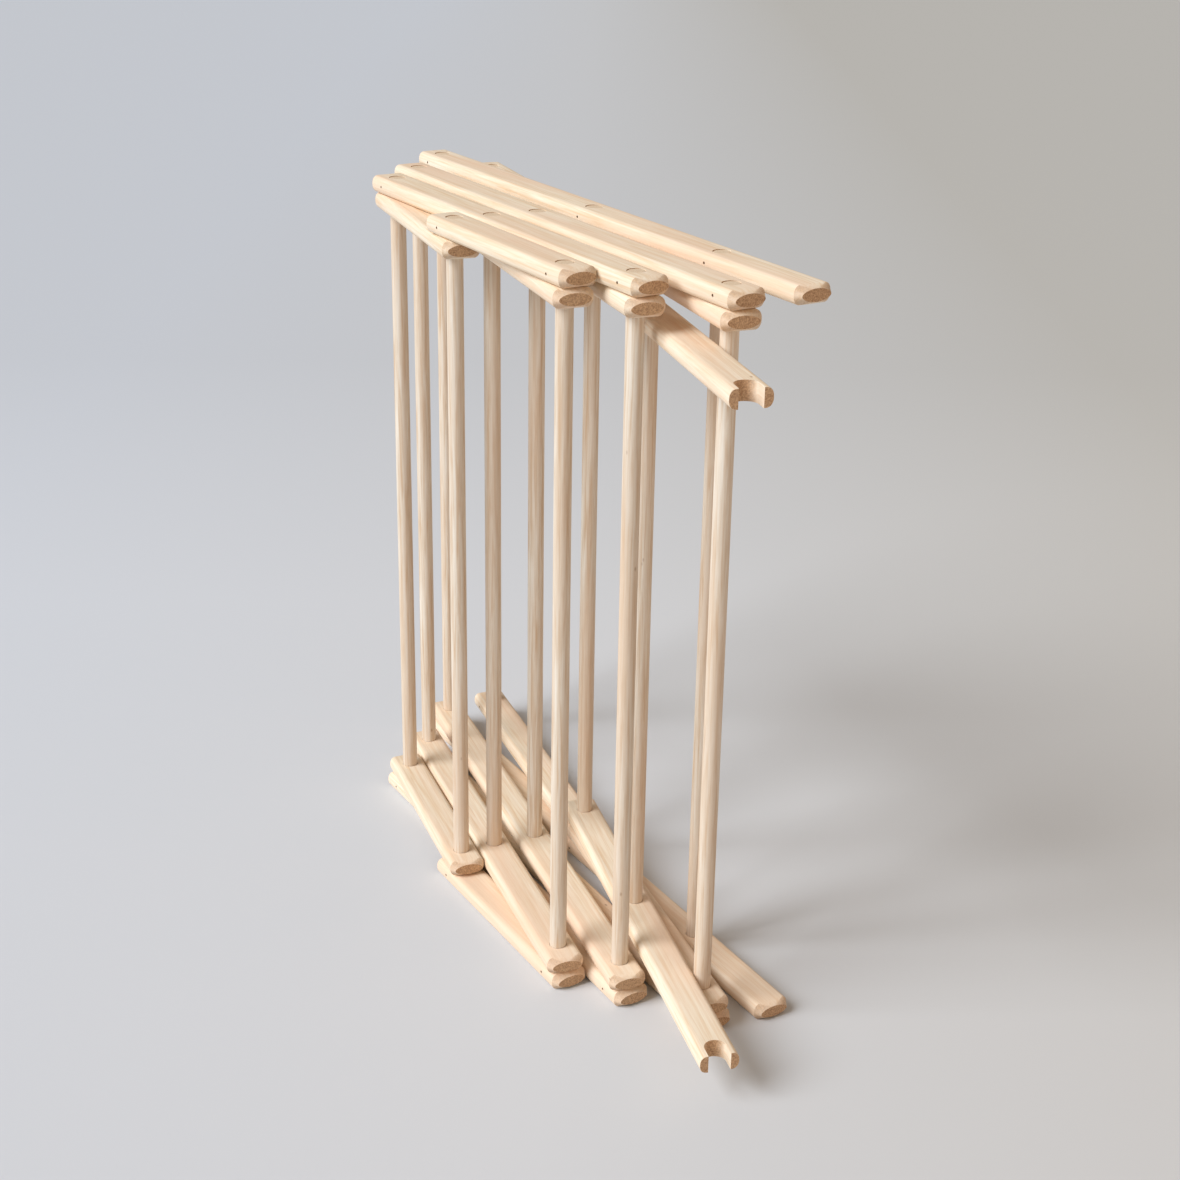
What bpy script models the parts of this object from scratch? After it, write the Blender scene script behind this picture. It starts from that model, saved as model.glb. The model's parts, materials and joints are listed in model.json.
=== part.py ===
"""Folding wooden clothes drying rack, folded flat and lying on its side.

Two mirrored sides of lazy-tongs slats carry thirteen round rods. Each side has four outer
slats, four inner slats and one notched arm. The outer slats are parallel, and so are the
inner slats, so one angle between them sets the whole fold. A rod is nailed with a brad into
the slat that holds it, and turns in the other slat that it passes through.

Metres, +Z up. Z runs along the rods and X along the outer slats. The feet of the outer legs
point along +X, and the outer faces of the left side lie on Z = 0.
"""

import math

import bmesh
import bpy
from mathutils import Matrix, Vector

# Rack and stock
RACK_WIDTH = 0.556  # over the outer faces of the two sides
SLAT_THICKNESS = 0.0135
SLAT_WIDTH = 0.0290
ROD_DIAMETER = 0.0127

# Distances between the rods of each scissor cell, from the feet up
LARGE_CELL = 0.259
MIDDLE_CELL = 0.205
SMALL_CELL = 0.165

# Legs: both run from the lowest crossing to a foot
FOOT_LENGTH = 0.284
OUTER_FOOT_ROD = 0.174  # from the lowest crossing to the rod of the outer legs
END_MARGIN = 0.022  # from the last rod's axis to the end of a slat

# Notched arm, on the rod of the lowest crossing
ARM_LENGTH = 0.362  # pivot axis to the tips
ARM_ROD = 0.152  # pivot axis to the arm's own rod
NOTCH_WIDTH = 0.0165
NOTCH_DEPTH = 0.0175
ARM_SLACK = 0.011  # room for the pair of arms to slide along their pivot rod

# Rounded edges, chamfered ends and brads
ROUND_INSET = 0.0004  # flat left in the middle of a rounded edge, each way
ROUND_STEPS = 2
END_CHAMFER = 0.0032
BRAD_DIAMETER = 0.0016
BRAD_WALL = 0.0008  # wood between a brad's pocket and the rod's hole
BRAD_RECESS = 0.0003
ROD_SIDES = 16
BRAD_SIDES = 6

# Clearances
GAP = 0.0003  # between pieces that touch, and around a rod or a brad
ROD_RECESS = 0.0003  # rod end below the slat's face
SIDE_GAP = 0.0005  # between neighbouring slats when folded
OVERCUT = 0.002  # a cutter's reach past the face it cuts

# A brad goes in at a slat's edge and stops short of the rod's hole
BRAD_START = -SLAT_WIDTH / 2
BRAD_END = -(ROD_DIAMETER / 2 + GAP + BRAD_WALL)

# The fold stops when the slats of the smallest cell lie edge to edge
FOLD = math.asin((SLAT_WIDTH + SIDE_GAP) / SMALL_CELL)
# and the arm then lies against the rod at the end of the inner legs
ARM_LEAN = math.asin(((SLAT_WIDTH + ROD_DIAMETER) / 2 + GAP) / LARGE_CELL)

LIE_ALONG_Y = Matrix.Rotation(math.radians(90), 3, "X")
LAYERS = {"outer": 0, "inner": 1, "arm": 2}
OUTER = Vector((1, 0))
INNER = Vector((math.cos(FOLD), -math.sin(FOLD)))
ARM = Vector((math.cos(FOLD + ARM_LEAN), -math.sin(FOLD + ARM_LEAN)))

PIECES = bpy.data.collections.new("clothes_drying_rack")
CUTTERS = bpy.data.collections.new("cutters")


# ---------------------------------------------------------------- where the rods stand

def rod_places():
    """Plan position of each rod's axis, measured from the lowest crossing."""
    place = {"cross_1": Vector((0, 0))}
    place["front_1"] = LARGE_CELL * INNER
    place["back_1"] = -LARGE_CELL * OUTER
    place["cross_2"] = place["front_1"] - LARGE_CELL * OUTER
    place["front_2"] = place["cross_2"] + MIDDLE_CELL * INNER
    place["back_2"] = place["cross_2"] - MIDDLE_CELL * OUTER
    place["cross_3"] = place["front_2"] - MIDDLE_CELL * OUTER
    place["front_3"] = place["cross_3"] + SMALL_CELL * INNER
    place["back_3"] = place["cross_3"] - SMALL_CELL * OUTER
    place["top"] = place["front_3"] - SMALL_CELL * OUTER
    place["foot_outer"] = OUTER_FOOT_ROD * OUTER
    place["foot_inner"] = -(FOOT_LENGTH - END_MARGIN) * INNER
    place["arm"] = ARM_ROD * ARM
    return place


ROD_AT = rod_places()

# name: direction, the rod it turns on, the rods nailed to it, the other rods through it
SLATS = {
    "outer_1": (OUTER, "cross_1", ("back_1", "cross_1", "foot_outer"), ()),
    "inner_1": (INNER, "cross_1", ("foot_inner",), ("cross_1", "front_1")),
    "outer_2": (OUTER, "front_1", ("back_2", "cross_2", "front_1"), ()),
    "inner_2": (INNER, "cross_2", (), ("back_1", "cross_2", "front_2")),
    "outer_3": (OUTER, "front_2", ("back_3", "cross_3", "front_2"), ()),
    "inner_3": (INNER, "cross_3", (), ("back_2", "cross_3", "front_3")),
    "outer_4": (OUTER, "front_3", ("top", "front_3"), ()),
    "inner_4": (INNER, "back_3", (), ("back_3", "top")),
    "arm": (ARM, "cross_1", ("arm",), ("cross_1",)),
}


def along(slat, rod):
    """Distance of a rod from the slat's pivot, along the slat."""
    direction, pivot = SLATS[slat][:2]
    return (ROD_AT[rod] - ROD_AT[pivot]).dot(direction)


def slat_ends(slat):
    """Start and end of the slat along its length, from its pivot."""
    stations = [along(slat, rod) for rod in SLATS[slat][2] + SLATS[slat][3]]
    start = min(stations) - END_MARGIN
    end = max(stations) + END_MARGIN
    if slat == "outer_1":
        end = FOOT_LENGTH
    if slat == "inner_1":
        start = -FOOT_LENGTH
    if slat == "arm":
        end = ARM_LENGTH
    return start, end


def outer_face(layer, side):
    """Height of the outer face of a layer of slats on the left (lower) or right (upper) side."""
    depth = layer * (SLAT_THICKNESS + GAP)
    if side == "left":
        return depth
    # The arms rest on the left side's inner slats, so their slack is all below the right side
    return RACK_WIDTH - depth - (ARM_SLACK if layer == LAYERS["arm"] else 0)


def slat_middle(layer, side):
    half = SLAT_THICKNESS / 2
    return outer_face(layer, side) + (half if side == "left" else -half)


# ---------------------------------------------------------------- shapes

def plain_material(name, colour, roughness, metallic=0.0):
    material = bpy.data.materials.new(name)
    material.use_nodes = True
    shader = material.node_tree.nodes["Principled BSDF"]
    shader.inputs["Base Color"].default_value = (*colour, 1)
    shader.inputs["Roughness"].default_value = roughness
    shader.inputs["Metallic"].default_value = metallic
    return material


def add_object(name, mesh, material=None, parent=None, collection=PIECES):
    obj = bpy.data.objects.new(name, mesh)
    collection.objects.link(obj)
    if material:
        mesh.materials.append(material)
        mesh.shade_smooth()
        mesh.set_sharp_from_angle(angle=math.radians(35))
    obj.parent = parent
    return obj


def cylinder(shape, diameter, length, sides, centre=(0, 0, 0), turn=None):
    """Adds a cylinder to a bmesh: along Z, or turned to lie along Y."""
    made = bmesh.ops.create_cone(
        shape, cap_ends=True, segments=sides, radius1=diameter / 2, radius2=diameter / 2, depth=length
    )["verts"]
    if turn:
        bmesh.ops.rotate(shape, verts=made, matrix=turn)
    bmesh.ops.translate(shape, verts=made, vec=centre)


def finished(shape, name):
    mesh = bpy.data.meshes.new(name)
    shape.to_mesh(mesh)
    shape.free()
    return mesh


def bar_mesh(name, start, end, square_end):
    """A flat bar with fully rounded long edges and chamfered ends, along X."""
    shape = bmesh.new()
    bmesh.ops.create_cube(shape, size=1)
    size = Vector((end - start, SLAT_WIDTH, SLAT_THICKNESS))
    bmesh.ops.scale(shape, verts=shape.verts, vec=size)
    bmesh.ops.translate(shape, verts=shape.verts, vec=((start + end) / 2, 0, 0))
    long_edges = [e for e in shape.edges if abs((e.verts[0].co - e.verts[1].co).x) > size.x / 2]
    bmesh.ops.bevel(
        shape,
        geom=long_edges,
        offset=SLAT_THICKNESS / 2 - ROUND_INSET,
        segments=ROUND_STEPS,
        profile=0.5,
        affect="EDGES",
    )
    stations = [start] if square_end else [start, end]
    rims = [e for e in shape.edges if any(all(abs(v.co.x - x) < GAP for v in e.verts) for x in stations)]
    bmesh.ops.bevel(shape, geom=rims, offset=END_CHAMFER, segments=1, profile=0.5, affect="EDGES")
    return finished(shape, name)


def notch_outline():
    """Plan outline of the arm's open notch: a half circle and two straight sides."""
    radius = NOTCH_WIDTH / 2
    middle = ARM_LENGTH - NOTCH_DEPTH + radius
    turns = [math.pi / 2 + math.pi * i / (ROD_SIDES // 2) for i in range(ROD_SIDES // 2 + 1)]
    arc = [(middle + radius * math.cos(t), radius * math.sin(t)) for t in turns]
    mouth = ARM_LENGTH + OVERCUT
    return arc + [(mouth, -radius), (mouth, radius)]


def cut_notch(shape):
    base = -RACK_WIDTH
    face = shape.faces.new([shape.verts.new((x, y, base)) for x, y in notch_outline()])
    raised = bmesh.ops.extrude_face_region(shape, geom=[face])["geom"]
    points = [g for g in raised if isinstance(g, bmesh.types.BMVert)]
    bmesh.ops.translate(shape, verts=points, vec=(0, 0, 2 * RACK_WIDTH))
    bmesh.ops.recalc_face_normals(shape, faces=shape.faces)


def add_cutter(name, shape, pivot):
    cutter = add_object(name, finished(shape, name), parent=pivot, collection=CUTTERS)
    cutter.hide_render = True
    cutter.display_type = "WIRE"
    return cutter


def holes_cutter(slat, pivot):
    """The holes for a slat's rods and the arm's notch, cut through both slats of the pair."""
    shape = bmesh.new()
    hole = ROD_DIAMETER + 2 * GAP
    for rod in SLATS[slat][2] + SLATS[slat][3]:
        cylinder(shape, hole, 2 * RACK_WIDTH, ROD_SIDES, (along(slat, rod), 0, RACK_WIDTH / 2))
    if slat == "arm":
        cut_notch(shape)
    return add_cutter(f"holes_{slat}", shape, pivot)


def pockets_cutter(slat, side, pivot, height):
    """The pockets for the brads of one slat."""
    shape = bmesh.new()
    length = BRAD_END - BRAD_START + OVERCUT
    for rod in SLATS[slat][2]:
        centre = (along(slat, rod), BRAD_END - length / 2, height)
        cylinder(shape, BRAD_DIAMETER + 2 * GAP, length, BRAD_SIDES, centre, LIE_ALONG_Y)
    return add_cutter(f"pockets_{slat}_{side}", shape, pivot)


def subtract(obj, cutter):
    cut = obj.modifiers.new(cutter.name, "BOOLEAN")
    cut.operation = "DIFFERENCE"
    cut.solver = "EXACT"
    cut.object = cutter


# ---------------------------------------------------------------- pieces

def build_pair(slat, root):
    """A slat on each side with its rods and brads, on an empty at the axis it turns about."""
    direction, pivot_rod, nailed, _ = SLATS[slat]
    pivot = bpy.data.objects.new(f"pivot_{slat}", None)
    PIECES.objects.link(pivot)
    pivot.parent = root
    pivot.location = (*ROD_AT[pivot_rod], 0)
    pivot.rotation_euler.z = math.atan2(direction.y, direction.x)
    start, end = slat_ends(slat)
    holes = holes_cutter(slat, pivot)
    layer = LAYERS[slat.split("_")[0]]
    for side in ("left", "right"):
        height = slat_middle(layer, side)
        name = f"slat_{slat}_{side}" if slat != "arm" else f"arm_{side}"
        bar = add_object(name, bar_mesh(name, start, end, slat == "arm"), SLAT_WOOD, pivot)
        bar.location.z = height
        subtract(bar, holes)
        if nailed:
            subtract(bar, pockets_cutter(slat, side, pivot, height))
        for rod in nailed:
            build_brad(slat, rod, side, pivot, height)
    for rod in nailed:
        build_rod(slat, rod, layer, pivot)


def build_rod(slat, rod, layer, pivot):
    """A rod whose ends are flush with the outer faces of the slats that hold it."""
    bottom = outer_face(layer, "left") + ROD_RECESS
    top = outer_face(layer, "right") - ROD_RECESS
    shape = bmesh.new()
    cylinder(shape, ROD_DIAMETER, top - bottom, ROD_SIDES)
    name = f"rod_{rod}"
    made = add_object(name, finished(shape, name), ROD_WOOD, pivot)
    made.location = (along(slat, rod), 0, (bottom + top) / 2)


def build_brad(slat, rod, side, pivot, height):
    head = BRAD_START + BRAD_RECESS
    point = BRAD_END - GAP
    shape = bmesh.new()
    cylinder(shape, BRAD_DIAMETER, point - head, BRAD_SIDES, turn=LIE_ALONG_Y)
    name = f"brad_{rod}_{side}"
    made = add_object(name, finished(shape, name), BRAD_STEEL, pivot)
    made.location = (along(slat, rod), (head + point) / 2, height)


def centre_over_origin(root):
    """Moves the rack so that the middle of its bounding box stands over the origin."""
    bpy.context.view_layer.update()
    graph = bpy.context.evaluated_depsgraph_get()
    solids = [o.evaluated_get(graph) for o in PIECES.objects if o.type == "MESH"]
    corners = [o.matrix_world @ v.co for o in solids for v in o.data.vertices]
    for axis in range(2):
        values = [corner[axis] for corner in corners]
        root.location[axis] = -(min(values) + max(values)) / 2


for old in list(bpy.data.objects):
    bpy.data.objects.remove(old)
bpy.context.scene.collection.children.link(PIECES)
bpy.context.scene.collection.children.link(CUTTERS)

SLAT_WOOD = plain_material("slat_wood", (0.87, 0.72, 0.52), 0.6)
ROD_WOOD = plain_material("rod_wood", (0.80, 0.65, 0.47), 0.55)
BRAD_STEEL = plain_material("brad_steel", (0.18, 0.15, 0.13), 0.5, 1.0)

RACK = bpy.data.objects.new("rack", None)
PIECES.objects.link(RACK)
for pair in SLATS:
    build_pair(pair, RACK)
centre_over_origin(RACK)
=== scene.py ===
"""Looks of the folded wooden clothes drying rack: sanded, unfinished slats, dowels and brads."""

import json
import math

import bmesh
import bpy
from mathutils import Matrix, Vector


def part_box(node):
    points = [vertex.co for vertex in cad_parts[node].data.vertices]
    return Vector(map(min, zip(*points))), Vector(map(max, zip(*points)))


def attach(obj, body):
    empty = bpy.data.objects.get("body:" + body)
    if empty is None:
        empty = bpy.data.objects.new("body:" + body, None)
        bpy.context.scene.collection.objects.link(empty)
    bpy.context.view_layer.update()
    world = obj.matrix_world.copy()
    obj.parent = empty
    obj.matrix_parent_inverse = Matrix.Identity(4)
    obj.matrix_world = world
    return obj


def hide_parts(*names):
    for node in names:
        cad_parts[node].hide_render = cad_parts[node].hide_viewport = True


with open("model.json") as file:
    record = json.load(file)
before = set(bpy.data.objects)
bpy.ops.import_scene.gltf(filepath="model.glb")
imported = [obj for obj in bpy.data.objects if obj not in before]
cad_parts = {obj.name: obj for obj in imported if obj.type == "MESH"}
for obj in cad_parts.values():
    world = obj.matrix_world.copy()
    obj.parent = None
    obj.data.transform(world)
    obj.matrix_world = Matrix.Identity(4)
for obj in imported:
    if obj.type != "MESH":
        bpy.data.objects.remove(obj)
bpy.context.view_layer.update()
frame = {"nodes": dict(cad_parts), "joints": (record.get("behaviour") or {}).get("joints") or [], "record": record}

# Sizes of the stock, in metres
SLAT_WIDTH = 0.0290
SLAT_THICKNESS = 0.0135
ROD_DIAMETER = 0.0127
BRAD_DIAMETER = 0.0016
BRAD_LENGTH = 0.0064
CLEARANCE = 0.0003

# Section of a slat: a flat face with a rounded side on each hand
FLAT_SHARE = 0.62  # of the slat's width that stays flat
ROUND_POWER = 2.3  # of the rounded sides: 2 is an ellipse, and more is squarer
ROUND_STEPS = 10  # on each quarter of the section
EDGE_ROUND = 0.0005  # sanded arris at an arm's notched end

# A slat's chamfered end
END_LENGTH = 0.0052  # along the slat
END_SHRINK = (0.0030, 0.0023)  # how much narrower and thinner the end grain is, on each side
END_FLAT_SHARE = 0.0
END_POWER = 1.85

# Holes, pockets and notches cut into the slats
HOLE_SIDES = 48
POCKET_SIDES = 20
POCKET_DEPTH = 0.0070
NOTCH_WIDTH = 0.0165
NOTCH_DEPTH = 0.0175
NOTCH_STEPS = 24  # round the bottom of the notch
CUTTER_HEIGHT = 0.05
NOTCH_CUTTER_HEIGHT = 0.1
NOTCH_CUTTER_PAST_TIP = 0.01

# Dowels and brads
ROD_SIDES = 40
ROD_EASE = 0.0006  # sanded arris at a rod's end
BRAD_SIDES = 16
BRAD_EASE = BRAD_DIAMETER / 8

MERGE_DISTANCE = 1e-6
SHARP_ANGLE = math.radians(28)
QUARTER_TURN = math.radians(90)


def middle(node):
    low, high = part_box(node)
    return (Vector(low) + Vector(high)) / 2


def turn_towards(place):
    """Plan angle from the lowest crossing to a place."""
    reach = place - CROSSING
    return math.atan2(reach.y, reach.x)


# Plan directions of the three layers
PIVOTS = {joint["name"]: Vector(joint["pos_m"]) for joint in frame["joints"]}
CROSSING = PIVOTS["fold"]
TURNS = {
    "outer": 0.0,
    "inner": turn_towards(PIVOTS["outer_2_turn"]),
    "arm": turn_towards(middle("rod_arm")),
}


# ---------------------------------------------------------------- materials

# Colour sockets of a Mix node, and the whole-number sockets of a Compare node
MIX_UNDER, MIX_OVER, MIX_RESULT = 6, 7, 2
WHOLE_A, WHOLE_B = 2, 3


def linear(hex_colour):
    """sRGB hex to linear RGBA."""
    parts = [int(hex_colour[i : i + 2], 16) / 255 for i in (0, 2, 4)]
    return (*[p / 12.92 if p <= 0.04045 else ((p + 0.055) / 1.055) ** 2.4 for p in parts], 1.0)


def add(tree, kind, links=None, stops=(), **settings):
    """Adds a node with its settings and links.

    Keys of links are input names or numbers, and values are sockets or constants. Stops are the
    places on a colour ramp, each with a hex colour or a share from black to white.
    """
    node = tree.nodes.new(kind)
    for name, value in settings.items():
        setattr(node, name, value)
    for key, value in (links or {}).items():
        if isinstance(value, bpy.types.NodeSocket):
            tree.links.new(value, node.inputs[key])
        else:
            node.inputs[key].default_value = value
    if stops:
        elements = node.color_ramp.elements
        while len(elements) < len(stops):
            elements.new(0.5)
        for element, (place, colour) in zip(elements, stops):
            element.position = place
            element.color = linear(colour) if isinstance(colour, str) else (*[colour] * 3, 1.0)
    return node


def new_material(name, **constants):
    """A material with these constants on its shader's own sockets."""
    material = bpy.data.materials.new(name)
    material.use_nodes = True
    shader = material.node_tree.nodes["Principled BSDF"]
    for socket, value in constants.items():
        shader.inputs[socket.replace("_", " ")].default_value = value
    return material, material.node_tree, shader


# Patterns in the wood: how far each is squeezed along the fibres, which draws it out that way, then
# its texture and settings. A scale is one over the size across the fibres in metres.
GRAIN = {
    # Growth bands: about 2.5 mm wide, and 30 times as long
    "bands": (
        0.035,
        "ShaderNodeTexNoise",
        {"Scale": 420.0, "Detail": 3.0, "Roughness": 0.55, "Distortion": 0.6},
    ),
    # Fibre streaks: about 0.4 mm wide and 20 mm long, coarser than real ones so that they show
    "fibres": (0.018, "ShaderNodeTexNoise", {"Scale": 2600.0, "Detail": 2.0, "Roughness": 0.6}),
    # Slow change of tone along a piece: about 25 mm wide and 200 mm long
    "tone": (0.12, "ShaderNodeTexNoise", {"Scale": 38.0, "Detail": 1.0}),
    # Darker patches: about 20 mm wide and 180 mm long
    "patches": (0.10, "ShaderNodeTexNoise", {"Scale": 55.0, "Detail": 2.0}),
    # Pin knots: about 2 mm wide and 30 mm apart across the fibres
    "knots": (0.45, "ShaderNodeTexVoronoi", {"Scale": 34.0}),
    # Pores and rings of the end grain: about 1 mm
    "rings": (1.0, "ShaderNodeTexNoise", {"Scale": 900.0, "Detail": 4.0, "Roughness": 0.7}),
}

# Colours laid over the face in turn: the pattern, its ramp's stops, and the colour in the palette
GRAIN_LAYERS = (
    ("fibres", ((0.52, 0.0), (0.78, 0.34)), "fibre"),
    ("tone", ((0.40, 0.0), (0.68, 0.62)), "warm"),
    ("patches", ((0.60, 0.0), (0.70, 0.22)), "late"),
    ("knots", ((0.012, 0.6), (0.036, 0.0)), "knot"),
)


# Planed and sanded birch, left bare: a pale face with faint growth bands, short fibre streaks and
# a few pin knots, and darker end grain where the cut crosses the fibres.
def bare_birch(name, turn, palette):
    """Turn is the rotation that brings the fibres onto X."""
    material, tree, shader = new_material(name, IOR=1.5, Specular_IOR_Level=0.30)
    place = add(tree, "ShaderNodeTexCoord").outputs
    along, facing = (
        add(tree, "ShaderNodeMapping", {0: place[reading], "Rotation": turn}).outputs[0]
        for reading in ("Object", "Normal")
    )
    grain = {}
    for pattern, (squeeze, texture, settings) in GRAIN.items():
        drawn = along
        if squeeze != 1.0:
            scale = (squeeze, 1.0, 1.0)
            drawn = add(tree, "ShaderNodeMapping", {0: along, "Scale": scale}).outputs[0]
        grain[pattern] = add(tree, texture, {0: drawn, **settings}).outputs[0]

    face_stops = ((0.30, palette["late"]), (0.52, palette["face"]), (0.74, palette["pale"]))
    colour = add(tree, "ShaderNodeValToRGB", {0: grain["bands"]}, face_stops).outputs[0]
    for pattern, stops, layer in GRAIN_LAYERS:
        share = add(tree, "ShaderNodeValToRGB", {0: grain[pattern]}, stops).outputs[0]
        sockets = {0: share, MIX_UNDER: colour, MIX_OVER: linear(palette[layer])}
        colour = add(tree, "ShaderNodeMix", sockets, data_type="RGBA").outputs[MIX_RESULT]

    # End grain shows where the surface looks along the fibres
    split = add(tree, "ShaderNodeSeparateXYZ", {0: facing}).outputs
    lengthwise = add(tree, "ShaderNodeMath", {0: split["X"]}, operation="ABSOLUTE").outputs[0]
    end_share = ((0.30, 0.0), (0.62, 0.45), (0.93, 1.0))
    share = add(tree, "ShaderNodeValToRGB", {0: lengthwise}, end_share).outputs[0]
    end_stops = ((0.35, palette["end_dark"]), (0.65, palette["end"]))
    end = add(tree, "ShaderNodeValToRGB", {0: grain["rings"]}, end_stops).outputs[0]
    sockets = {0: share, MIX_UNDER: colour, MIX_OVER: end}
    colour = add(tree, "ShaderNodeMix", sockets, data_type="RGBA").outputs[MIX_RESULT]

    rough = add(
        tree, "ShaderNodeMapRange", {0: grain["fibres"], "To Min": 0.50, "To Max": 0.68}
    ).outputs[0]
    raised = {"Height": grain["fibres"], "Strength": 0.10, "Distance": 0.0004}
    bump = add(tree, "ShaderNodeBump", raised).outputs[0]
    tree.links.new(colour, shader.inputs["Base Color"])
    tree.links.new(rough, shader.inputs["Roughness"])
    tree.links.new(bump, shader.inputs["Normal"])
    return material


# Bright drawn steel brads, gone dull brown in the wood
def dull_steel():
    material, tree, shader = new_material("dulled_steel_brad", Metallic=0.7, Roughness=0.5)
    place = add(tree, "ShaderNodeTexCoord").outputs["Object"]
    # Stain in spots of about 0.3 mm
    stain = add(tree, "ShaderNodeTexNoise", {0: place, "Scale": 3000.0}).outputs[0]
    stops = ((0.35, "4a3b30"), (0.65, "7d6a58"))
    colour = add(tree, "ShaderNodeValToRGB", {0: stain}, stops).outputs[0]
    tree.links.new(colour, shader.inputs["Base Color"])
    return material


SLAT_PALETTE = {
    "pale": "f9ecd7",
    "face": "f1dfc5",
    "late": "e6caa7",
    "fibre": "d7b48e",
    "warm": "efcdb0",
    "knot": "9c7450",
    "end": "d6af86",
    "end_dark": "9c7352",
}
DOWEL_PALETTE = {
    "pale": "ede4d6",
    "face": "e2d3bf",
    "late": "cfb293",
    "fibre": "ba9874",
    "warm": "dabda0",
    "knot": "a07b5a",
    "end": "ead6bb",
    "end_dark": "d8bb9a",
}

WOODS = {
    "outer": bare_birch("bare_birch_outer_slats", (0, 0, -TURNS["outer"]), SLAT_PALETTE),
    "inner": bare_birch("bare_birch_inner_slats", (0, 0, -TURNS["inner"]), SLAT_PALETTE),
    "arm": bare_birch("bare_birch_arms", (0, 0, -TURNS["arm"]), SLAT_PALETTE),
    "rod": bare_birch("bare_birch_dowels", (0, QUARTER_TURN, 0), DOWEL_PALETTE),
}
BRAD_STEEL = dull_steel()


# ---------------------------------------------------------------- meshes

def section(width, thickness, flat_share, power):
    """Closed section of a slat, as points in its (across, up) plane."""
    flat = width / 2 * flat_share
    reach = width / 2 - flat
    points = []
    for sign_across, sign_up in ((1, 1), (-1, 1), (-1, -1), (1, -1)):
        quarter = [QUARTER_TURN * i / ROUND_STEPS for i in range(ROUND_STEPS + 1)]
        if sign_across * sign_up < 0:
            quarter.reverse()
        for t in quarter:
            across = sign_across * (flat + reach * max(math.cos(t), 0.0) ** (2 / power))
            up = sign_up * thickness / 2 * math.sin(t) ** (2 / power)
            points.append(Vector((across, up)))
    return points


def slat_stations(start, end, square_end):
    """Where the slat's rings stand: (along, width, thickness, flat share, power)."""
    full = (SLAT_WIDTH, SLAT_THICKNESS, FLAT_SHARE, ROUND_POWER)
    small = (
        SLAT_WIDTH - 2 * END_SHRINK[0],
        SLAT_THICKNESS - 2 * END_SHRINK[1],
        END_FLAT_SHARE,
        END_POWER,
    )
    rings = [(start, *small), (start + END_LENGTH, *full)]
    if square_end:
        eased = (SLAT_WIDTH - EDGE_ROUND, SLAT_THICKNESS - EDGE_ROUND, FLAT_SHARE, ROUND_POWER)
        rings += [(end - EDGE_ROUND, *full), (end, *eased)]
    else:
        rings += [(end - END_LENGTH, *full), (end, *small)]
    return rings


def to_mesh(shape, name):
    mesh = bpy.data.meshes.new(name)
    shape.to_mesh(mesh)
    shape.free()
    return mesh


def slat_mesh(name, start, end, square_end):
    shape = bmesh.new()
    loops = []
    for along, *profile in slat_stations(start, end, square_end):
        loops.append([shape.verts.new((along, p.x, p.y)) for p in section(*profile)])
    for one, two in zip(loops, loops[1:]):
        for i in range(len(one)):
            j = (i + 1) % len(one)
            shape.faces.new((one[i], one[j], two[j], two[i]))
    shape.faces.new(loops[0])
    shape.faces.new(loops[-1])
    bmesh.ops.remove_doubles(shape, verts=shape.verts, dist=MERGE_DISTANCE)
    bmesh.ops.recalc_face_normals(shape, faces=shape.faces)
    return to_mesh(shape, name)


def in_scene(name, data):
    """A new object in the scene."""
    made = bpy.data.objects.new(name, data)
    bpy.context.scene.collection.objects.link(made)
    return made


def evaluated_mesh(obj):
    """A plain mesh of the object with its modifiers applied."""
    graph = bpy.context.evaluated_depsgraph_get()
    return bpy.data.meshes.new_from_object(obj.evaluated_get(graph))


def place_piece(mesh, name, matrix, material):
    """Puts the place into the mesh, so that the object itself sits at the origin."""
    mesh.transform(matrix)
    mesh.materials.clear()
    mesh.materials.append(material)
    mesh.shade_smooth()
    mesh.set_sharp_from_angle(angle=SHARP_ANGLE)
    return in_scene(name, mesh)


def drilled(mesh, name, cutter_mesh):
    """The mesh with the cutter taken away from it."""
    blank = in_scene(name, mesh)
    cutter = in_scene(f"cut_{name}", cutter_mesh)
    cut = blank.modifiers.new("cut", "BOOLEAN")
    cut.object = cutter
    cut.solver = "EXACT"
    made = evaluated_mesh(blank)
    bpy.data.objects.remove(blank)
    bpy.data.objects.remove(cutter)
    return made


def round_cutter(shape, radius, height, sides):
    """Adds an upright cylinder at the middle of the shape, and returns its corners."""
    return bmesh.ops.create_cone(
        shape, cap_ends=True, segments=sides, radius1=radius, radius2=radius, depth=height
    )["verts"]


def add_holes(shape, stations):
    """Holes for the rods, right through the slat."""
    for x in stations:
        corners = round_cutter(shape, ROD_DIAMETER / 2 + CLEARANCE, CUTTER_HEIGHT, HOLE_SIDES)
        bmesh.ops.translate(shape, verts=corners, vec=(x, 0, 0))


def add_pockets(shape, stations):
    """Round pockets for the brads, in from the slat's edge."""
    for x in stations:
        radius = BRAD_DIAMETER / 2 + CLEARANCE
        corners = round_cutter(shape, radius, 2 * POCKET_DEPTH, POCKET_SIDES)
        bmesh.ops.rotate(shape, verts=corners, matrix=Matrix.Rotation(QUARTER_TURN, 3, "X"))
        bmesh.ops.translate(shape, verts=corners, vec=(x, -SLAT_WIDTH / 2, 0))


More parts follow.
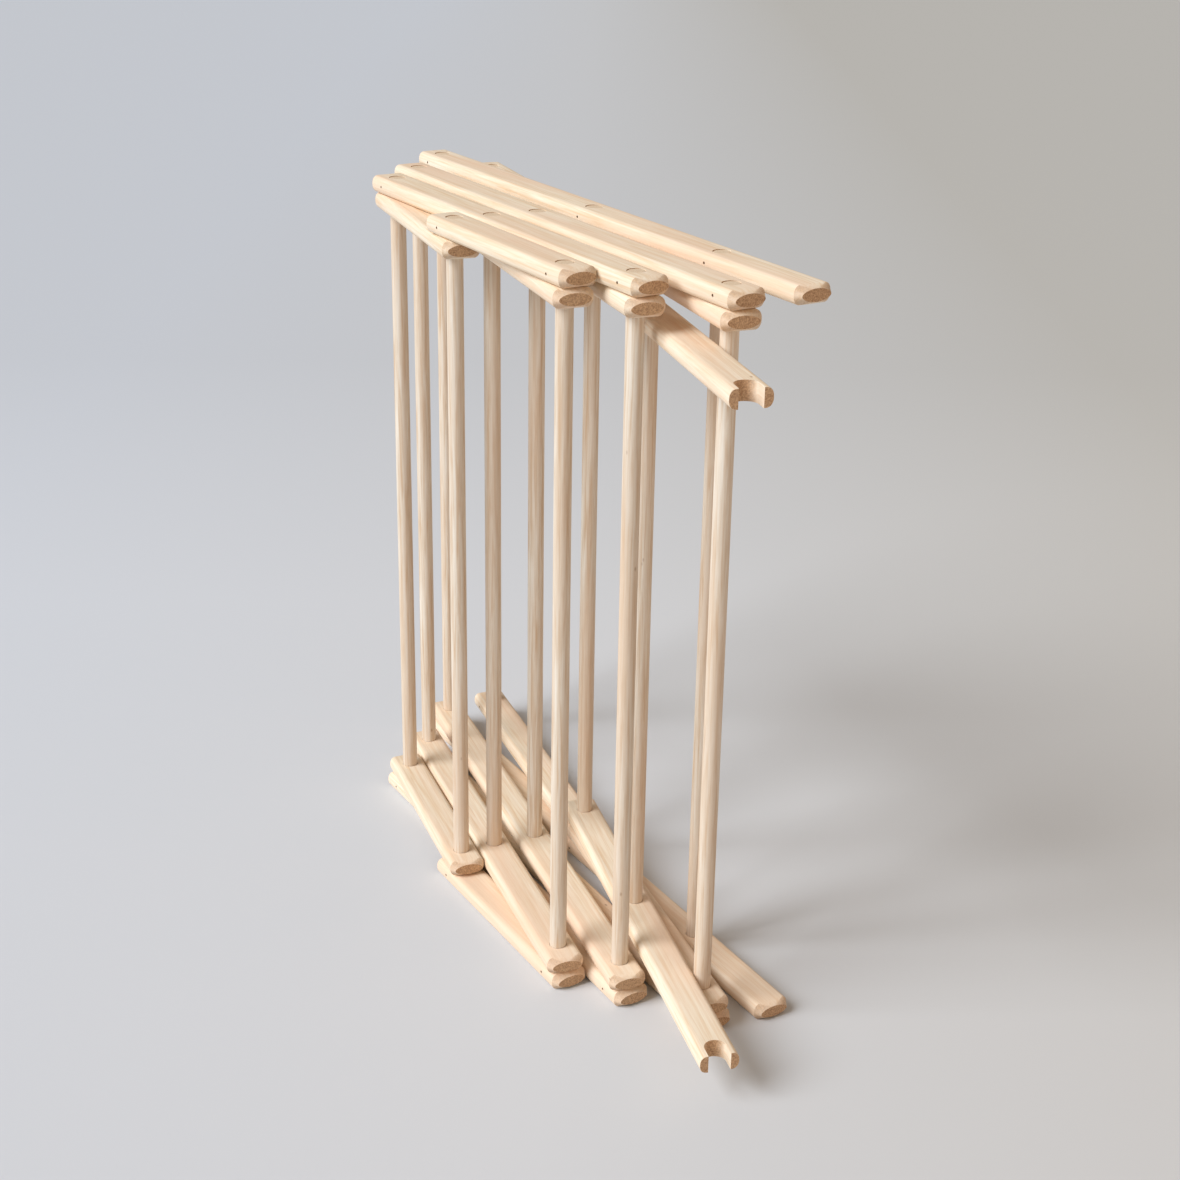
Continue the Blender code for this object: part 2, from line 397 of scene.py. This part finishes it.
def add_notch(shape, tip):
    """Open notch with a round bottom, in from the arm's tip."""
    radius = NOTCH_WIDTH / 2
    centre = tip - NOTCH_DEPTH + radius
    past = tip + NOTCH_CUTTER_PAST_TIP
    turns = [math.pi / 2 + math.pi * i / NOTCH_STEPS for i in range(NOTCH_STEPS + 1)]
    outline = [(centre + radius * math.cos(t), radius * math.sin(t)) for t in turns]
    outline += [(past, -radius), (past, radius)]
    bottom = -NOTCH_CUTTER_HEIGHT / 2
    face = shape.faces.new([shape.verts.new((x, y, bottom)) for x, y in outline])
    raised = bmesh.ops.extrude_face_region(shape, geom=[face])["geom"]
    corners = [g for g in raised if isinstance(g, bmesh.types.BMVert)]
    bmesh.ops.translate(shape, verts=corners, vec=(0, 0, NOTCH_CUTTER_HEIGHT))
    bmesh.ops.recalc_face_normals(shape, faces=shape.faces)


# ---------------------------------------------------------------- pieces

BODY_NODES = frame["record"]["behaviour"]["bodies"]
RODS = [node for nodes in BODY_NODES.values() for node in nodes if node.startswith("rod_")]


def body_of(node):
    return next(body for body, nodes in BODY_NODES.items() if node in nodes)


def build_slat(node):
    kind = "arm" if node.startswith("arm") else node.split("_")[1]
    turn = TURNS[kind]
    direction = Vector((math.cos(turn), math.sin(turn), 0))
    side = Vector((-math.sin(turn), math.cos(turn), 0))
    centre = middle(node)
    corners = frame["nodes"][node].data.vertices
    places = [(corner.co - CROSSING).dot(direction) for corner in corners]
    start, end = min(places), max(places)

    # The slat's line runs through the rods that are nailed into it, or else through its others
    nailed = [rod for rod in RODS if body_of(rod) == body_of(node)]
    near = [rod for rod in RODS if abs((middle(rod) - centre).dot(side)) < SLAT_WIDTH / 4]
    origin = CROSSING + side * ((middle((nailed or near)[0]) - CROSSING).dot(side))
    origin.z = centre.z
    holes, pockets = [], []
    for rod in RODS:
        low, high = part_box(rod)
        place = (middle(rod) - origin).dot(direction)
        beside = abs((middle(rod) - origin).dot(side))
        if low[2] < centre.z < high[2] and beside < CLEARANCE and start < place < end:
            holes.append(place)
            if rod in nailed:
                pockets.append(place)

    cutter = bmesh.new()
    add_holes(cutter, holes)
    add_pockets(cutter, pockets)
    if kind == "arm":
        add_notch(cutter, end)
    blank = slat_mesh(node, start, end, kind == "arm")
    made = drilled(blank, node, to_mesh(cutter, "holes"))
    matrix = Matrix.Translation(origin) @ Matrix.Rotation(turn, 4, "Z")
    piece = place_piece(made, f"bare_{node}", matrix, WOODS[kind])
    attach(piece, body_of(node))
    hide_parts(node)


def rod_tree():
    """Geometry nodes: a dowel stood on end, with a sanded arris at each end."""
    tree = bpy.data.node_groups.new("turned_dowel", "GeometryNodeTree")
    sockets = {
        "Length": "NodeSocketFloat",
        "Radius": "NodeSocketFloat",
        "Ease": "NodeSocketFloat",
        "Sides": "NodeSocketInt",
        "Wood": "NodeSocketMaterial",
    }
    for name, kind in sockets.items():
        tree.interface.new_socket(name, in_out="INPUT", socket_type=kind)
    tree.interface.new_socket("Mesh", in_out="OUTPUT", socket_type="NodeSocketGeometry")
    given = add(tree, "NodeGroupInput").outputs

    # Four places up the dowel: its ends, and where the arris at each end begins
    length, ease = given["Length"], given["Ease"]
    half = add(tree, "ShaderNodeMath", {0: length, 1: 0.5}, operation="MULTIPLY").outputs[0]
    straight = add(tree, "ShaderNodeMath", {0: half, 1: ease}, operation="SUBTRACT").outputs[0]
    stations = []
    for reach in (half, straight):
        for sign in (-1.0, 1.0):
            up = add(tree, "ShaderNodeMath", {0: reach, 1: sign}, operation="MULTIPLY").outputs[0]
            stations.append(add(tree, "ShaderNodeCombineXYZ", {"Z": up}).outputs[0])
    bottom, top, low, high = stations
    line = add(tree, "GeometryNodeCurvePrimitiveLine", {"Start": bottom, "End": top}).outputs[0]
    sampled = {"Curve": line, "Count": len(stations)}
    line = add(tree, "GeometryNodeResampleCurve", sampled).outputs[0]
    index = add(tree, "GeometryNodeInputIndex").outputs[0]
    chosen = []
    for number, place in ((1, low), (2, high)):
        compared = {WHOLE_A: index, WHOLE_B: number}
        whole = {"data_type": "INT", "operation": "EQUAL"}
        chosen.append(add(tree, "FunctionNodeCompare", compared, **whole).outputs[0])
        moved = {"Geometry": line, "Selection": chosen[-1], "Position": place}
        line = add(tree, "GeometryNodeSetPosition", moved).outputs[0]

    # Full radius between the arrises, and less at the ends
    full = given["Radius"]
    less = add(tree, "ShaderNodeMath", {0: full, 1: ease}, operation="SUBTRACT").outputs[0]
    either = {0: chosen[0], 1: chosen[1]}
    inside = add(tree, "FunctionNodeBooleanMath", either, operation="OR").outputs[0]
    picked = {0: inside, 1: less, 2: full}
    radius = add(tree, "GeometryNodeSwitch", picked, input_type="FLOAT").outputs[0]
    sized = add(tree, "GeometryNodeSetCurveRadius", {"Curve": line, "Radius": radius}).outputs[0]
    circle = {"Resolution": given["Sides"], "Radius": 1.0}
    ring = add(tree, "GeometryNodeCurvePrimitiveCircle", circle).outputs[0]
    sweep = {"Curve": sized, "Profile Curve": ring, "Fill Caps": True, "Scale": radius}
    swept = add(tree, "GeometryNodeCurveToMesh", sweep).outputs[0]
    real = add(tree, "GeometryNodeRealizeInstances", {0: swept}).outputs[0]
    painted = add(tree, "GeometryNodeSetMaterial", {0: real, "Material": given["Wood"]}).outputs[0]
    add(tree, "NodeGroupOutput", {0: painted})
    return tree


DOWEL_TREE = rod_tree()


def dowel_mesh(name, **inputs):
    """The mesh that the dowel's tree makes with these inputs."""
    seed = in_scene(name, bpy.data.meshes.new(name))
    modifier = seed.modifiers.new("nodes", "NODES")
    modifier.node_group = DOWEL_TREE
    for item in DOWEL_TREE.interface.items_tree:
        if item.in_out == "INPUT" and item.name in inputs:
            modifier[item.identifier] = inputs[item.name]
    made = evaluated_mesh(seed)
    bpy.data.objects.remove(seed)
    shape = bmesh.new()
    shape.from_mesh(made)
    bmesh.ops.remove_doubles(shape, verts=shape.verts, dist=MERGE_DISTANCE)
    bmesh.ops.recalc_face_normals(shape, faces=shape.faces)
    shape.to_mesh(made)
    shape.free()
    return made


def build_rod(node):
    low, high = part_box(node)
    mesh = dowel_mesh(
        node,
        Length=high[2] - low[2],
        Radius=ROD_DIAMETER / 2,
        Ease=ROD_EASE,
        Sides=ROD_SIDES,
        Wood=WOODS["rod"],
    )
    piece = place_piece(mesh, f"bare_{node}", Matrix.Translation(middle(node)), WOODS["rod"])
    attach(piece, body_of(node))
    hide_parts(node)


def build_brad(node):
    kind = {"notched_arms": "arm", "inner_legs": "inner"}.get(body_of(node), "outer")
    mesh = dowel_mesh(
        node,
        Length=BRAD_LENGTH,
        Radius=BRAD_DIAMETER / 2,
        Ease=BRAD_EASE,
        Sides=BRAD_SIDES,
        Wood=BRAD_STEEL,
    )
    turn = Matrix.Rotation(TURNS[kind], 4, "Z") @ Matrix.Rotation(QUARTER_TURN, 4, "X")
    matrix = Matrix.Translation(middle(node)) @ turn
    piece = place_piece(mesh, f"dulled_{node}", matrix, BRAD_STEEL)
    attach(piece, body_of(node))
    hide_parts(node)


for cad_node in sorted(frame["nodes"]):
    if cad_node.startswith(("slat_", "arm_")):
        build_slat(cad_node)
    elif cad_node.startswith("rod_"):
        build_rod(cad_node)
    else:
        build_brad(cad_node)


# ---------------------------------------------------------------- floor, light and camera

VIEW_AZIMUTH = math.radians(59.55)  # from +Y towards -X
VIEW_TILT = math.radians(22.15)
VIEW_ROLL = math.radians(0.93)
CAMERA_PLACE = Vector((CROSSING.x, CROSSING.y, 0)) + Vector((1.2732, -0.7465, 0.8440))
LENS = 59.62
SENSOR_WIDTH = 36
FORWARD = Vector((-math.sin(VIEW_AZIMUTH), math.cos(VIEW_AZIMUTH), 0))
RIGHT = Vector((math.cos(VIEW_AZIMUTH), math.sin(VIEW_AZIMUTH), 0))
UP = Vector((0, 0, 1))

FLOOR_REACH = 30  # metres to each side
WINDOW_STRENGTH = 3.40
WINDOW_SPREAD = math.radians(38)
WINDOW_FROM = UP * 2.6 - RIGHT * 2.9 - FORWARD * 1.5
BOUNCE_FROM = UP * 1.0 + RIGHT * 2.4 - FORWARD * 1.2
BOUNCE_TOWARDS = UP * 0.25
BOUNCE_SIZE = (1.8, 1.2)
BOUNCE_POWER = 8
ROOM_STRENGTH = 0.33


def add_camera():
    data = bpy.data.cameras.new("camera")
    data.lens = LENS
    data.sensor_width = SENSOR_WIDTH
    data.clip_start = 0.05
    camera = in_scene("camera", data)
    look = FORWARD * math.cos(VIEW_TILT) - UP * math.sin(VIEW_TILT)
    upright = FORWARD * math.sin(VIEW_TILT) + UP * math.cos(VIEW_TILT)
    right = RIGHT * math.cos(VIEW_ROLL) + upright * math.sin(VIEW_ROLL)
    up = upright * math.cos(VIEW_ROLL) - RIGHT * math.sin(VIEW_ROLL)
    turn = Matrix((right, up, -look)).transposed().to_4x4()
    camera.matrix_world = Matrix.Translation(CAMERA_PLACE) @ turn
    bpy.context.scene.camera = camera


# Seamless matt paper, pale, with painted light and shade: cool on the window's side and a little warmer and darker
# away from it, and a little darker further from the camera, as the window's light falls off
def matt_paper_with_painted_shade():
    constants = {"Roughness": 0.75, "Specular_IOR_Level": 0.2}
    material, tree, shader = new_material("seamless_paper", **constants)
    place = add(tree, "ShaderNodeTexCoord").outputs["Object"]
    turned = {0: place, "Rotation": (0, 0, -VIEW_AZIMUTH)}
    turned = add(tree, "ShaderNodeMapping", turned).outputs[0]
    split = add(tree, "ShaderNodeSeparateXYZ", {0: turned}).outputs
    away = {0: split["Y"], "From Min": 0.6, "From Max": 1.6}
    away = add(tree, "ShaderNodeMapRange", away).outputs[0]
    across = {0: split["X"], "From Min": -0.75, "From Max": 0.85}
    across = add(tree, "ShaderNodeMapRange", across).outputs[0]
    # Painted shade: the paper darkens a little further from the camera, where the window's light falls off
    away_stops = ((0.0, "ffffff"), (1.0, "f3f3f3"))
    shade = add(tree, "ShaderNodeValToRGB", {0: away}, away_stops).outputs[0]
    # Painted light: cool where the window falls, warmer and darker on the far side for the warm bounce and the
    # window's falloff
    across_stops = ((0.0, "d6dbe3"), (0.45, "d5d7da"), (1.0, "c7c5c0"))
    painted_side_light = add(tree, "ShaderNodeValToRGB", {0: across}, across_stops).outputs[0]
    sockets = {0: 1.0, MIX_UNDER: painted_side_light, MIX_OVER: shade}
    paper = add(tree, "ShaderNodeMix", sockets, data_type="RGBA", blend_type="MULTIPLY")
    tree.links.new(paper.outputs[MIX_RESULT], shader.inputs["Base Color"])
    return material


def add_floor():
    shape = bmesh.new()
    bmesh.ops.create_grid(shape, x_segments=1, y_segments=1, size=FLOOR_REACH)
    floor = in_scene("paper_floor", to_mesh(shape, "paper_floor"))
    floor.data.materials.append(matt_paper_with_painted_shade())


def light_scene():
    """A large even window light from the front left, a warm bounce from the right, a pale room."""
    window = bpy.data.lights.new("window", "SUN")
    window.energy = WINDOW_STRENGTH
    window.angle = WINDOW_SPREAD
    window.color = linear("f5f9ff")[:3]
    lamp = in_scene("window", window)
    lamp.rotation_euler = WINDOW_FROM.to_track_quat("Z", "Y").to_euler()

    bounce = bpy.data.lights.new("warm_bounce", "AREA")
    bounce.shape = "RECTANGLE"
    bounce.size, bounce.size_y = BOUNCE_SIZE
    bounce.energy = BOUNCE_POWER
    bounce.color = linear("ffbf8a")[:3]
    lamp = in_scene("warm_bounce", bounce)
    lamp.location = BOUNCE_FROM
    lamp.rotation_euler = (BOUNCE_FROM - BOUNCE_TOWARDS).to_track_quat("Z", "Y").to_euler()

    world = bpy.data.worlds.new("studio")
    bpy.context.scene.world = world
    world.use_nodes = True
    room = world.node_tree.nodes["Background"]
    room.inputs["Color"].default_value = linear("fbefe0")
    room.inputs["Strength"].default_value = ROOM_STRENGTH


add_camera()
add_floor()
light_scene()
bpy.context.scene.view_settings.view_transform = "Standard"
